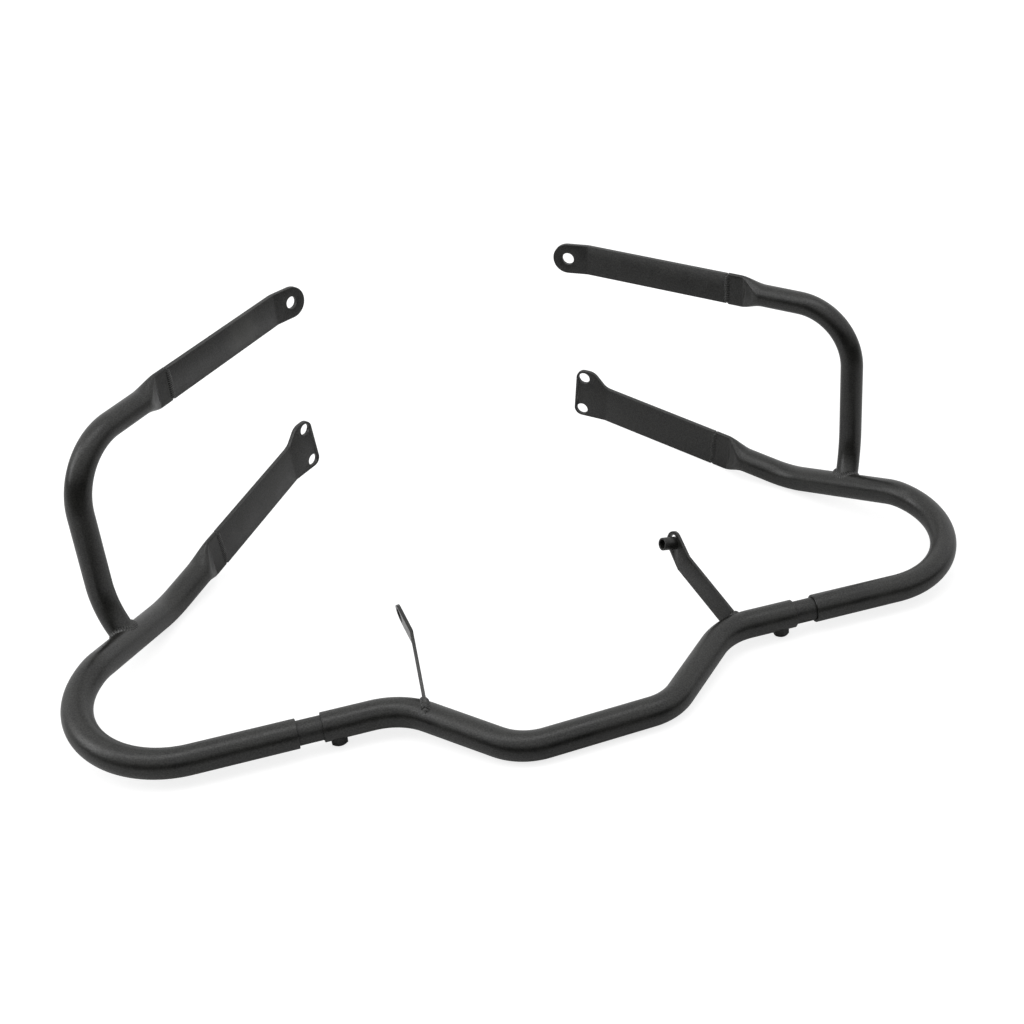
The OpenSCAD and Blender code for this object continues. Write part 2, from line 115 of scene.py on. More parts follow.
# %% [markdown]
# ## One way to make a surface
# Every new piece is a grid of points, a function of two parameters, and neighbouring rows
# and columns share a face. Mirroring a grid turns it inside out, so the signed volume of
# the closed surface says which way its faces point.

# %% Helper that turns a grid of points into a piece
def piece(name, grid, side, node, finish, sharp=38):
    """Quads join each point to the next row and the next column, and the last to the first.
    The signed volume sums a . (b x c) / 6 over the triangles; a negative one flips them."""
    rows, cols = grid.shape[:2]
    r, c = np.arange(rows)[:, None], np.arange(cols)[None]
    r2, c2 = (r + 1) % rows, (c + 1) % cols
    quads = np.stack([r * cols + c, r2 * cols + c, r2 * cols + c2, r * cols + c2], -1)
    quads = quads.reshape(-1, 4)
    v = (grid.reshape(-1, 3) * [side, 1, 1] + ORIGIN) * MM
    p, q, s, t = (v[quads[:, k]] for k in range(4))
    volume = np.einsum("ij,ij->", p, np.cross(q, s)) + np.einsum("ij,ij->", p, np.cross(s, t))
    if volume < 0:
        quads = quads[:, ::-1]
    mesh = bpy.data.meshes.new(name)
    mesh.from_pydata(v.tolist(), [], quads.tolist())
    b = bmesh.new()
    b.from_mesh(mesh)
    bmesh.ops.remove_doubles(b, verts=b.verts, dist=1e-7)
    bmesh.ops.dissolve_degenerate(b, edges=b.edges, dist=1e-7)
    b.to_mesh(mesh)
    b.free()
    mesh.polygons.foreach_set("use_smooth", np.ones(len(mesh.polygons), bool))
    mesh.set_sharp_from_angle(angle=math.radians(sharp))
    mesh.materials.append(finish)
    o = bpy.data.objects.new(name, mesh)
    bpy.context.scene.collection.objects.link(o)
    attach(o, "root")
    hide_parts(node)
    print("%-28s %6d faces, %6.1f cm3" % (name, len(mesh.polygons), abs(volume) / 6 * 1e6))
    return o

# %% [markdown]
# ## Finishes
# The bars are powder coated: a dry black powder is sprayed on and baked, and it flows into
# a satin skin with a faint orange peel. A bump from fine noise gives the peel, and slow
# noise shifts tone and gloss a little, as on the real coat. Noise reads Object coordinates,
# so its scale is in real millimetres.

# %% Helpers for colours and nodes
def linear(hex_colour):
    """sRGB hex to linear: c / 12.92 in the toe, else ((c + 0.055) / 1.055) to the 2.4."""
    c = np.array([int(hex_colour[i:i + 2], 16) for i in (1, 3, 5)]) / 255
    c = np.where(c <= 0.04045, c / 12.92, ((c + 0.055) / 1.055) ** 2.4)
    return (*c.tolist(), 1.0)


def add(tree, kind, settings=(), **links):
    """Adds a node. Settings are properties or input values by name, links name=socket."""
    node = tree.nodes.new(kind)
    for key, value in dict(settings).items():
        if key in node.inputs:
            node.inputs[key].default_value = value
        else:
            setattr(node, key, value)
    for key, socket in links.items():
        tree.links.new(socket, node.inputs[key.replace("_", " ")])
    return node


# %% Powder coat
SPECK_MM = 1.2


def powder_coat(name, dark, light, gloss, peel_mm, peel_depth, cloud_mm, speck=0.45, scuff_and_sheen=None):
    """A Principled surface whose base colour mixes two near blacks by slow noise and specks,
    whose roughness follows the same clouds, whose specks glint more and less, and whose bump
    is the peel. The last argument, if given, is a place, a radius in metres and a colour:
    there the coat is paler, partly scuffed and partly painted sheen, with a ragged edge that
    fades outwards."""
    m = bpy.data.materials.new(name)
    m.use_nodes = True
    t = m.node_tree
    skin = t.nodes["Principled BSDF"]
    at = add(t, "ShaderNodeTexCoord").outputs["Object"]
    cloud = add(t, "ShaderNodeTexNoise", {"Scale": 1000 / cloud_mm, "Detail": 3.0}, Vector=at)
    specks = add(t, "ShaderNodeTexNoise", {"Scale": 1000 / SPECK_MM, "Detail": 1.0}, Vector=at)
    peel = add(t, "ShaderNodeTexNoise", {"Scale": 1000 / peel_mm, "Detail": 2.0}, Vector=at)
    tone = add(t, "ShaderNodeMix", {"Factor": speck}, A=cloud.outputs["Fac"],
               B=specks.outputs["Fac"])
    ramp = add(t, "ShaderNodeValToRGB", Fac=tone.outputs["Result"])
    for stop, position, tint in zip(ramp.color_ramp.elements, (0.36, 0.64), (dark, light)):
        stop.position, stop.color = position, linear(tint)
    colour = ramp.outputs["Color"]
    # Paler patch: partly scuffed, partly painted sheen
    if scuff_and_sheen:
        centre, radius, pale = scuff_and_sheen
        far = add(t, "ShaderNodeVectorMath", {"operation": "DISTANCE"})
        t.links.new(at, far.inputs[0])
        far.inputs[1].default_value = centre
        ragged = add(t, "ShaderNodeMath", {"operation": "MULTIPLY_ADD"})
        t.links.new(cloud.outputs["Fac"], ragged.inputs[0])
        ragged.inputs[1].default_value = radius * 1.6
        t.links.new(far.outputs["Value"], ragged.inputs[2])
        fade = add(t, "ShaderNodeMapRange", {"From Min": radius * 1.3, "From Max": radius * 2.2,
                   "To Min": 1.0, "To Max": 0.0}, Value=ragged.outputs["Value"])
        scuff_and_sheen_mix = add(t, "ShaderNodeMix", {"data_type": "RGBA"}, Factor=fade.outputs["Result"])
        t.links.new(colour, scuff_and_sheen_mix.inputs[6])
        scuff_and_sheen_mix.inputs[7].default_value = linear(pale)
        colour = scuff_and_sheen_mix.outputs[2]
    t.links.new(colour, skin.inputs["Base Color"])
    rough = add(t, "ShaderNodeMapRange", {"From Min": 0.3, "From Max": 0.7,
                "To Min": gloss - 0.05, "To Max": gloss + 0.06}, Value=cloud.outputs["Fac"])
    t.links.new(rough.outputs["Result"], skin.inputs["Roughness"])
    glint = add(t, "ShaderNodeMapRange", {"From Min": 0.32, "From Max": 0.68, "To Min": 0.41,
                "To Max": 0.6}, Value=specks.outputs["Fac"])
    t.links.new(glint.outputs["Result"], skin.inputs["Specular IOR Level"])
    bump = add(t, "ShaderNodeBump", {"Strength": 1.0, "Distance": peel_depth * MM},
               Height=peel.outputs["Fac"])
    t.links.new(bump.outputs["Normal"], skin.inputs["Normal"])
    print("finish:", name)
    return m


# %% Finishes of the parts
# Tubes: satin black with a fine orange peel and a soft band of light along the crown
tube_coat = powder_coat("black powder coat, sprayed and baked on tube",
                        "#0b0b0a", "#1b1b18", 0.34, 1.7, 0.1, 24)
# Flat bar: the same coat, a little duller and greyer where the bar was blasted first
bar_coat = powder_coat("black powder coat, sprayed and baked on blasted flat bar",
                       "#0f0f0e", "#20201e", 0.44, 1.3, 0.09, 16, 0.55)
# The left upper strap: the same coat with one paler patch, partly scuffed and partly painted
# sheen
scuffed_sheen_coat = powder_coat("black powder coat on flat bar, scuffed, with painted sheen",
                          "#0f0f0e", "#20201e", 0.44, 1.3, 0.09, 16, 0.55,
                          ((-0.196, 0.212, 0.214), 0.02, "#2e2e2b"))
# Tabs: a thinner, glossier coat on thin strip, with more sheen at a flat angle
tab_coat = powder_coat("black powder coat on thin strip, glossier", "#0f0f0e", "#20201e", 0.26,
                       1.3, 0.06, 16, 0.5)
# Welds: the coat lies thick in the ripples, so they look a touch glossier
weld_coat = powder_coat("black powder coat, baked over a hand weld",
                        "#0c0c0b", "#1b1b19", 0.28, 1.3, 0.06, 6)
# Sleeves: a thin coat, rubbed by the tube that slides over it
sleeve_coat = powder_coat("thin black coat on the inner sleeve, rubbed",
                          "#0b0b0a", "#191917", 0.45, 1.2, 0.06, 10)
# Bolts: black oxide over steel, darker and smoother than the coat
bolt_oxide = powder_coat("black oxide on a forged bolt", "#0f0f0f", "#191918", 0.32, 0.8, 0.02, 6)
# Bush: turned steel under the same coat
bush_coat = powder_coat("black powder coat on a turned bush", "#121211", "#1d1d1b", 0.38, 1.2,
                        0.04, 8)

# %% [markdown]
# ## Centre lines
# A tube bender leaves straights joined by arcs of one radius. The centre line is that: for
# each corner an arc starts r * tan(turn / 2) before it. Frames along the line come from one
# fixed direction that no part of the tube runs along, so the section doesn't twist.

# %% Helper for centre lines
ARC_STEP, STRAIGHT_STEP = 2.0, 24.0


def centre_line(corners, radii, end_step):
    """Points and directions along straights and arcs. On an arc the point is
    first + r * (sin(w) * a + (1 - cos(w)) * n), and the direction cos(w) * a + sin(w) * n."""
    u = unit(np.diff(corners, axis=0))
    points, ways, start = [], [], corners[0]
    for corner, a, b, r in zip(corners[1:-1], u[:-1], u[1:], radii):
        turn = math.acos(a @ b)
        first = corner - a * r * math.tan(turn / 2)
        steps = 1 + int(np.linalg.norm(first - start) / STRAIGHT_STEP)
        t = np.linspace(0, 1, steps, endpoint=False)[:, None]
        w = np.linspace(0, turn, int(turn * r / ARC_STEP), endpoint=False)[:, None]
        n = unit(b - (a @ b) * a)
        points += [start + t * (first - start), first + r * (np.sin(w) * a + (1 - np.cos(w)) * n)]
        ways += [a + 0 * t, np.cos(w) * a + np.sin(w) * n]
        start = corner + b * r * math.tan(turn / 2)
    run = np.linalg.norm(corners[-1] - start)
    t = np.linspace(0, 1, 1 + int(np.ceil(run / end_step)))[:, None]
    return (np.concatenate(points + [start + t * (corners[-1] - start)]),
            np.concatenate(ways + [u[-1] + 0 * t]))


def frames(ways, fixed):
    """Two directions across the line: the fixed one less its share along the line, and the
    cross product of the line with it."""
    across = unit(fixed - (ways @ fixed)[:, None] * ways)
    return across, np.cross(ways, across)

# %% [markdown]
# ## Tubes with pressed ends
# The ends that meet the straps are pressed flat in a die. The girth of the tube stays
# nearly the same, so it grows wider as it gets thinner. The crown comes down on a slope
# and meets the flat in a crescent crease. The section is two half circles joined by flats
# with a low crown, cut by the die's ramp. A curve with a round bevel would give the tube
# but not its press, so the section is a function of the way along the tube.

# %% Section of a pressed tube
SECTION_POINTS = 96
# Crown left where the flat starts, the die's slope, and how far before the flat it ends
CROWN, DIE_SLOPE, DIE_LEAD = 1.1, 0.8, 3.5
# Least half thickness of the bore, and how softly the die's crease runs in
LEAST_HALF, CREASE = 0.45, 0.25


def pressed(r, thin, width, s, wall):
    """Outline of a tube of radius r at s mm into the press. The half thickness h eases from
    r to half of thin, and the flats between the half circles are spread * pi * (r - h) / 2
    long on each side. The crown adds a parabola, and a soft minimum with a ramp is the die.
    Points lie at equal steps of length around one quarter, mirrored into all four."""
    k = np.clip(s / PRESS, 0, 1)[:, None]
    h = r - (r - thin / 2) * k * k * (3 - 2 * k)
    flat = (width - thin) / (np.pi * (r - thin / 2)) * np.pi * (r - h) / 2
    crown = np.maximum(r - (r - thin / 2 - CROWN) * k - h, 0) * (k > 0)
    hh = np.maximum(h - wall, LEAST_HALF)
    t = np.arange(SECTION_POINTS) / SECTION_POINTS * 4
    quarter, f = np.floor(t), t % 1
    d = np.where(quarter % 2 == 0, f, 1 - f) * (hh * np.pi / 2 + flat)
    on_arc = d < hh * np.pi / 2
    x = np.where(on_arc, flat + hh * np.cos(d / hh), flat - (d - hh * np.pi / 2))
    y = np.where(on_arc, hh * np.sin(d / hh), hh)
    inner = np.clip(x / np.maximum(flat, 1e-6), 0, 1)
    y = y + np.where(on_arc, 0, crown * (1 - inner ** 2))
    before = np.maximum(PRESS - DIE_LEAD - s, 0)[:, None]
    ramp = thin / 2 - min(wall, thin / 2 - LEAST_HALF) + DIE_SLOPE * before
    soft = CREASE * (k > 0)
    y = np.where(k > 0, (y + ramp - np.sqrt((y - ramp) ** 2 + soft ** 2)) / 2 + soft / 8, y)
    right_half = (quarter == 0) | (quarter == 3)
    return x * np.where(right_half, 1, -1), y * np.where(quarter < 2, 1, -1)


# %% Skins of the tubes
END_STEP, RIM = 0.9, 0.4


def tube(name, corners, radii, r, wall, fixed, node, side, width=None):
    """Carries the section along the centre line, out along the outer wall and back along the
    inner one. Two close rings at each mouth round the rim. With a width, the last
    end is pressed to it, and the tube stops short by half the gap at the weld's root."""
    corners = np.array(corners, float)
    if width:
        corners[-1] = corners[-1] - unit(corners[-1] - corners[-2]) * ROOT / 2
    p, way = centre_line(corners, radii, END_STEP if width else STRAIGHT_STEP)
    fixed = unit(fixed)
    n, b = frames(way, fixed)
    length = np.linalg.norm(np.diff(p, axis=0), axis=1)
    s = np.append(0, length.cumsum())
    if width:
        s = s - (s[-1] - PRESS - FLAT)
        up = unit(np.array([0, 0, 1.0]) - way[-1][2] * way[-1])
        turn = math.atan2(up @ b[-1], up @ n[-1])
    else:
        s, turn = s * 0 - 1, 0.0

    def skin(wall_here, shrink, rows):
        x, y = pressed(r, FLAT_T, width or 2 * r, s[rows], wall_here)
        x, y = x * (1 - shrink / r), y * (1 - shrink / r)
        x, y = x * math.cos(turn) - y * math.sin(turn), x * math.sin(turn) + y * math.cos(turn)
        across = x[..., None] * n[rows][:, None] + y[..., None] * b[rows][:, None]
        return p[rows][:, None] + across

    rows = np.arange(len(p))
    ends = np.array([0, -1])
    rim = RIM * way[ends][:, None] * np.array([1, -1])[:, None, None]
    out, back = skin(0, 0, rows), skin(wall, 0, rows)
    out[0], back[0] = out[0] + rim[0], back[0] + rim[0]
    out[-1], back[-1] = out[-1] + rim[1], back[-1] + rim[1]
    lip_out, lip_in = skin(0, RIM, ends), skin(wall, -RIM, ends)
    grid = np.concatenate([lip_out[:1], out, lip_out[1:], lip_in[1:], back[::-1], lip_in[:1]])
    return piece(name, grid, side, node, tube_coat)


UP = (0, 0, 1)
upper_way = unit(UPPER[3] - UPPER[2])
UPPER_FIXED = np.cross(upper_way, UP)
for side, hand in SIDES:
    tube(f"{hand}_loop_tube_skin", LOOP, LOOP_RADII, TUBE_R, TUBE_WALL, UP,
         f"{hand}_loop_tube", side, LOOP_FLAT_W)
    tube(f"{hand}_upper_tube_skin", UPPER, UPPER_RADII, UPPER_R, UPPER_WALL, UPPER_FIXED,
         f"{hand}_upper_tube", side, UPPER_FLAT_W)
tube("centre_tube_skin", CENTRE, CENTRE_RADII, TUBE_R, TUBE_WALL, UP, "centre_tube", 1)

# %% [markdown]
# ## Straps, tabs, bush and sleeves
# These are cut from bar, plate and tube, and the CAD solids already have their shape. Cutting and
# blasting ease their edges, and powder draws back from a sharp edge anyway. The CAD mesh is
# loose triangles, so a Weld joins them, and a Bevel rounds the edges by a few tenths of a
# millimetre. Drawing the pieces again would gain nothing.

# %% Ease the edges of the CAD solids
BEVEL_ROWS, EDGE_ANGLE = 3, 35


def ease(node, finish, width):
    """Weld, then bevel the edges past EDGE_ANGLE degrees, width in mm, then smooth shading."""
    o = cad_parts[node]
    join = o.modifiers.new("join the triangles", "WELD")
    join.merge_threshold = 1e-6
    bevel = o.modifiers.new("eased edges", "BEVEL")
    bevel.width, bevel.segments = width * MM, BEVEL_ROWS
    bevel.limit_method, bevel.angle_limit = "ANGLE", math.radians(EDGE_ANGLE)
    bevel.harden_normals = True
    o.data.polygons.foreach_set("use_smooth", np.ones(len(o.data.polygons), bool))
    o.data.materials.clear()
    o.data.materials.append(finish)
    print("eased:", node, "by", width, "mm")


for hand in ("right", "left"):
    ease(f"{hand}_upper_strap", scuffed_sheen_coat if hand == "left" else bar_coat, 0.7)
    ease(f"{hand}_lower_strap", bar_coat, 0.7)
    ease(f"{hand}_tab", tab_coat, 0.5)
    ease(f"{hand}_sleeve", sleeve_coat, 0.3)
ease("tab_bush", bush_coat, 0.6)

# %% [markdown]
# ## Welds
# A hand weld is a fillet laid as small overlapping puddles in the corner between two walls.
# The seam is the curve on which both walls lie, found by halving. From it the weld reaches a
# few millimetres up one wall and along the other, with a slightly raised face that ripples
# every 2 mm or so, and its width wanders as the welder's hand did. A bump alone could fake
# the ripples but not the bead's edge, so they are real shape.

# %% Helpers for seams and fillets
HALVINGS = 40
# Steps along a seam, depth of the weld's root, and how far its toes are sunk into the walls
SEAM_STEP, ROOT_DEPTH, SINK = 0.3, 0.9, 0.25
# Share of the leg that a tight corner takes away
PINCH = 0.72


def halve(inside, a, b):
    """Finds where inside(t) changes between a and b for whole arrays of t, by halving."""
    for _ in range(HALVINGS):
        mid = (a + b) / 2
        hit = inside(mid)
        a, b = np.where(hit, mid, a), np.where(hit, b, mid)
    return (a + b) / 2


def resample(values, at, length):
    """Closed columns of numbers read again at even steps of length along the seam."""
    closed = np.vstack([values, values[:1]])
    return np.stack([np.interp(at, length, closed[:, k]) for k in range(3)], 1)


def fillet(seam, normal_1, normal_2, onto_1, onto_2, leg, rise, pitch, seed):
    """Weld in the corner of two walls. Toes lie a leg away from the seam along each wall and
    are put onto it, nearer in a tight corner; the face is the parabola through both toes
    whose middle stands out by rise, and three points under the seam close the section."""
    step = np.linalg.norm(np.diff(np.vstack([seam, seam[:1]]), axis=0), axis=1)
    length = np.append(0, step.cumsum())
    rows = int(length[-1] / SEAM_STEP)
    at = np.arange(rows) / rows * length[-1]
    p = resample(seam, at, length)
    n1, n2 = unit(resample(normal_1, at, length)), unit(resample(normal_2, at, length))
    way = unit(np.roll(p, -2, 0) - np.roll(p, 2, 0))
    d1, d2 = unit(np.cross(way, n1)), unit(np.cross(way, n2))
    d1 = d1 * np.sign(np.sum(d1 * n2, 1))[:, None]
    d2 = d2 * np.sign(np.sum(d2 * n1, 1))[:, None]
    k = at / length[-1]
    rng = np.random.default_rng(seed)
    phase, size = rng.uniform(0, 2 * np.pi, 5), rng.uniform(0.4, 1, 5)
    slow = sum(size[j] * np.sin(2 * np.pi * (j + 2) * k + phase[j]) for j in range(5)) / 3
    crest = np.abs(np.sin(np.pi * max(round(length[-1] / pitch), 3) * k))
    tight = np.clip(np.sum(d1 * d2, 1), 0, 1)
    reach = (leg * (1 - PINCH * tight) * (1 + 0.13 * slow + 0.1 * crest))[:, None]
    toe_1, toe_2 = onto_1(p + reach * d1), onto_2(p + reach * d2)
    out = unit(n1 + n2)
    stand = (rise * (1 - tight) ** 2 * (0.35 + crest + 0.35 * slow))[:, None]
    t = np.linspace(0, 1, 13)[None, :, None]
    chord = (1 - t) * toe_1[:, None] + t * toe_2[:, None]
    face = chord + 4 * t * (1 - t) * (stand * out)[:, None]
    root = (p - ROOT_DEPTH * out)[:, None]
    back = [(0.5 * toe_2[:, None] + 0.5 * root), root, (0.5 * toe_1[:, None] + 0.5 * root)]
    return np.concatenate([face] + back, 1)


# %% [markdown]
# ## Weld around the foot of the upper tube
# The upper tube stands on the straight of the loop with its first bend. The seam is where
# each line along the bend's wall enters the loop. A Boolean would cut the same curve, but
# the fillet also needs both walls and their normals, and here they are formulas.

# %% Weld around the foot of each upper tube
FOOT_LEG, FOOT_RISE, FOOT_PITCH, FOOT_POINTS = 3.3, 0.5, 2.2, 240
# Angles along the bend between which every line enters the loop
FOOT_FROM, FOOT_TO = -0.35, 0.6


def arc_of(a, b, c, r):
    """Start, first direction and direction to the middle of the bend of radius r at b."""
    u, v = unit(b - a), unit(c - b)
    return b - u * r * math.tan(math.acos(u @ v) / 2), u, unit(v - (u @ v) * u)


def onto_bend(first, u, n, r, tube_r, sink=SINK):
    """A function that moves points radially onto the wall of a bent tube, sunk a little."""
    hub, up = first + r * n, np.cross(u, n)

    def move(p):
        d = p - hub
        flat = d - (d @ up)[:, None] * up
        centre = hub + r * unit(flat)
        return centre + (tube_r - sink) * unit(p - centre)
    return move


bend_start, bend_way, bend_in = arc_of(*UPPER[:3], UPPER_RADII[0])
bend_side = np.cross(bend_way, bend_in)
around = np.linspace(0, 2 * np.pi, FOOT_POINTS, endpoint=False)
bar_way = unit(LOOP[3] - LOOP[2])


def foot_wall(t, r=UPPER_R):
    """Points on the bend's wall: t is the angle along the bend, one for each way around."""
    t = t[:, None]
    centre = bend_start + UPPER_RADII[0] * (np.sin(t) * bend_way + (1 - np.cos(t)) * bend_in)
    across = -np.sin(t) * bend_way + np.cos(t) * bend_in
    return centre + r * (np.cos(around)[:, None] * across + np.sin(around)[:, None] * bend_side)


def from_bar(p):
    """Vectors from the middle line of the loop tube's straight, square to it."""
    d = p - LOOP[2]
    return d - (d @ bar_way)[:, None] * bar_way


def in_loop(t):
    """Whether the wall's points at t are inside the loop tube's straight."""
    return np.linalg.norm(from_bar(foot_wall(t)), axis=1) < TUBE_R


def onto_bar(p):
    """Moves points radially onto the wall of the loop tube's straight, sunk a little."""
    return p - from_bar(p) + (TUBE_R - SINK) * unit(from_bar(p))


foot_at = halve(in_loop, np.full(FOOT_POINTS, FOOT_FROM), np.full(FOOT_POINTS, FOOT_TO))
foot_seam = foot_wall(foot_at)
foot_normal = unit(foot_seam - foot_wall(foot_at, 0.0))
onto_foot = onto_bend(bend_start, bend_way, bend_in, UPPER_RADII[0], UPPER_R)
for side, hand in SIDES:
    bead = fillet(foot_seam, foot_normal, unit(from_bar(foot_seam)), onto_foot, onto_bar,
                  FOOT_LEG, FOOT_RISE, FOOT_PITCH, seed=5 + side)
    piece(f"{hand}_branch_weld_bead", bead, side, f"{hand}_branch_weld",
          weld_coat, 75)

# %% [markdown]
# ## Welds between tubes and straps
# A strap is butted against the flat end of its tube and welded across both faces. This
# seam is straight, so the bead needs no walls to follow: it is a row of closed sections
# from one edge of the strap to the other, whose height and width follow the ripples.

# %% Welds between the tubes and the straps
# Height and half width of the bead, its ripples, its sink into the faces, and its rows
BEAD_RISE, BEAD_HALF, BEAD_PITCH, BEAD_SINK, BEAD_ROWS = 0.65, 3.1, 2.0, 0.35, 200


def joint_bead(end, before, width, seed):
    """A bead lies over both faces of the joint, and weld metal fills the root between them.
    Across the joint the section is a low arc on each face; its height and width follow the
    ripples along the joint and sink to nothing at both ends."""
    u = unit(end - before)
    z = unit(np.array([0, 0, 1.0]) - u[2] * u)
    y = np.cross(z, u)
    k = np.linspace(-1, 1, BEAD_ROWS)
    rng = np.random.default_rng(seed)
    phase = rng.uniform(0, 2 * np.pi, 3)
    slow = sum(np.sin((3 + 2 * j) * k + phase[j]) for j in range(3)) / 3
    ends = np.sqrt(np.clip(1 - np.abs(k) ** 14, 0, 1))
    ripple = np.abs(np.sin(np.pi * k * width / 2 / BEAD_PITCH))
    rise = (BEAD_RISE + 0.35 * ripple + 0.15 * slow) * ends
    half = (BEAD_HALF + 0.3 * slow + 0.2 * ripple) * np.clip(ends, 0.3, 1)
    a = np.linspace(0, np.pi, 15)
    x = np.cos(a)[None] * half[:, None]
    toe = (STRAP_T / 2 - BEAD_SINK) * np.clip(ends, 0.6, 1)[:, None]
    h = toe + np.sin(a)[None] * (rise[:, None] + BEAD_SINK)
    x, h = np.concatenate([x, -x], 1), np.concatenate([h, -h], 1)
    drift = 0.35 * slow[:, None]
    along = (k * width / 2)[:, None, None] * z
    grid = end + (x + drift)[..., None] * u + h[..., None] * y + along
    tip = grid.mean(1, keepdims=True) + 0 * grid
    return np.concatenate([tip[:1], grid, tip[-1:]])


for side, hand in SIDES:
    piece(f"{hand}_upper_strap_weld_bead",
          joint_bead(UPPER[3], UPPER[2], UPPER_STRAP_W - 1, 11 + side), side,
          f"{hand}_upper_strap_weld", weld_coat, 60)
    piece(f"{hand}_lower_strap_weld_bead",
          joint_bead(LOOP[4], LOOP[3], LOWER_STRAP_W - 1, 21 + side), side,
          f"{hand}_lower_strap_weld", weld_coat, 60)

# %% [markdown]
# ## Welds around the feet of the tabs
# Each tab stands on an outer bend of the centre tube, with a fillet round its foot. The
# seam is found as at the upper tube's foot, along lines down the strip's outline. Lines
# that miss the tube are left out.

# %% Welds around the feet of the tabs
# Foot of each tab at the strip's low and high edge, then its fold at the low edge
RIGHT_TAB = np.array([[153.7, 11, 7.6], [160.9, 2.1, 23.9], [125.3, 63.5, 51.9]])
LEFT_TAB = np.array([[125.8, -2.5, 18.7], [127.9, -18, 32.5], [121, 55, 43.7]])
TAB_T, TAB_LEG, TAB_RISE, TAB_PITCH = 3.0, 2.6, 0.55, 1.9
# Lines down the outline, how far before the foot they start, and their length
TAB_LINES, LINE_LEAD, LINE_LENGTH = 160, 34.0, 56.0


def tab_seam(tab, middle):
    """Lines run down the strip's outline. Each point of the seam is where its line enters the
    bent tube, which is where its distance to the bend's circle is the radius."""
    low, high, fold_low = tab
    down = unit(low - fold_low)
    across = high - low
    across = across - (across @ down) * down
    n = unit(np.cross(down, across))
    bend_r = CENTRE_RADII[-1]
    first, u, v = arc_of(middle, CENTRE[4], CENTRE[5], bend_r)
    hub = first + bend_r * v
    w = np.linspace(0, 2 * np.pi, TAB_LINES, endpoint=False)
    box = np.stack([np.cos(w), np.sin(w)], 1)
    box = box / np.abs(box).max(1, keepdims=True)
    outline = across * 0.5 + box[:, :1] * across * 0.5 + box[:, 1:] * n * TAB_T / 2
    start = low - down * LINE_LEAD + outline

    def outside(t):
        d = start + t[:, None] * down - hub
        flat = np.hypot(d @ u, d @ v)
        return np.hypot(flat - bend_r, d @ np.cross(u, v)) > TUBE_R

    reached = halve(outside, np.zeros(TAB_LINES), np.full(TAB_LINES, LINE_LENGTH))
    seam = start + reached[:, None] * down
    put = onto_bend(first, u, v, bend_r, TUBE_R)
    normal_1 = unit(np.cos(w)[:, None] * unit(across) + np.sin(w)[:, None] * n)
    normal_2 = unit(put(seam) - onto_bend(first, u, v, bend_r, 0.0, 0.0)(seam))
    met = np.abs(np.linalg.norm(seam - put(seam), axis=1) - SINK) < SINK / 5
    print("tab seam: %.0f%% of its lines meet the tube" % (100 * met.mean()))
    seam, normal_1, normal_2 = seam[met], normal_1[met], normal_2[met]

    def onto_tab(p):
        near = np.linalg.norm(p[:, None] - seam[None], axis=2).argmin(1)
        return p - 0.15 * normal_1[near]

    return fillet(seam, normal_1, normal_2, onto_tab, put, TAB_LEG, TAB_RISE, TAB_PITCH, seed=31)


TABS = ((1, "right", RIGHT_TAB, CENTRE[3]), (-1, "left", LEFT_TAB, CENTRE[2] * [-1, 1, 1]))
for side, hand, tab, middle in TABS:
    piece(f"{hand}_tab_weld_bead", tab_seam(tab, middle), side,
          f"{hand}_tab_weld", weld_coat, 75)

# %% [markdown]
# ## Clamp bolts
# A hexagon bolt from below holds each guard's sleeve in the centre tube. The forging has a
# chamfer around its face, so the corners of the hexagon end in curves. A cylinder of six
# sides with a bevel wouldn't give them. In polar form the radius is the smaller of the
# hexagon's and a cone's, which does.

# %% Clamp bolts
BOLT_X, BOLT_AF, BOLT_HEAD, SHANK_R, BOLT_POINTS = 199.0, 13.0, 6.0, 3.9, 120
# Heights above the head's face and the largest radius there: pole, face, chamfer, hexagon
CHAMFER = ((0, 0), (0, 5.6), (0.15, 6.0), (0.6, 6.6), (1.2, 7.5), (3.0, 9))


def bolt_grid():
    """Radius at angle w: flat-to-flat / 2 / cos(w mod 60 - 30), capped by the chamfer cone.
    The top of the head follows the round of the tube, z = joint - sqrt(R^2 - y^2)."""
    w = np.linspace(0, 2 * np.pi, BOLT_POINTS, endpoint=False)
    hexagon = BOLT_AF / 2 / np.cos((w + np.pi / 6) % (np.pi / 3) - np.pi / 6)
    low = JOINT_Z - TUBE_R - BOLT_HEAD
    height, cap = np.array(CHAMFER).T[:, :, None]
    r = np.minimum(hexagon, cap)
    grid = np.stack([r * np.cos(w), r * np.sin(w), w * 0 + low + height], -1)
    top = grid[-1].copy()
    top[:, 2] = JOINT_Z - np.sqrt(TUBE_R ** 2 - top[:, 1] ** 2)
    neck_z = low + BOLT_HEAD + 0.5
    neck = np.stack([SHANK_R * np.cos(w), SHANK_R * np.sin(w), w * 0 + neck_z], 1)
    shank = neck + [0, 0, 3.5]
    pole = shank * [0, 0, 1]
    grid = np.concatenate([grid, [top, neck, shank, pole]])
    return grid + [BOLT_X, 0, 0]


for side, hand in SIDES:
    piece(f"{hand}_clamp_bolt_head", bolt_grid(), side, f"{hand}_clamp_bolt",
          bolt_oxide, 25)

# %% [markdown]
# ## Studio
# The photograph was cut out on white, with only a soft contact shadow kept. The floor is a
# plain pale sheet that catches the shadow. For camera rays it also glows a little, so that
# its lit part is white. A long soft light above draws the streak along the upper side of
# each tube, and a smaller one stands on the left. The room is bright above and behind and
# dark in front, and for all but camera rays the floor carries painted shade in front of the
# part too: this gives the dark band along the camera side of the tubes.

# %% Floor
FLOOR_HALF = 20
# Along Y, in metres: where the floor's painted shade turns from dark to pale for all but camera
# rays
SHADE_FROM, SHADE_TO, DARK_FLOOR, PALE_FLOOR = -0.42, -0.27, 0.05, 0.64
# Colour and glow of the floor for camera rays
SEEN_FLOOR, FLOOR_GLOW = 0.36, 0.77


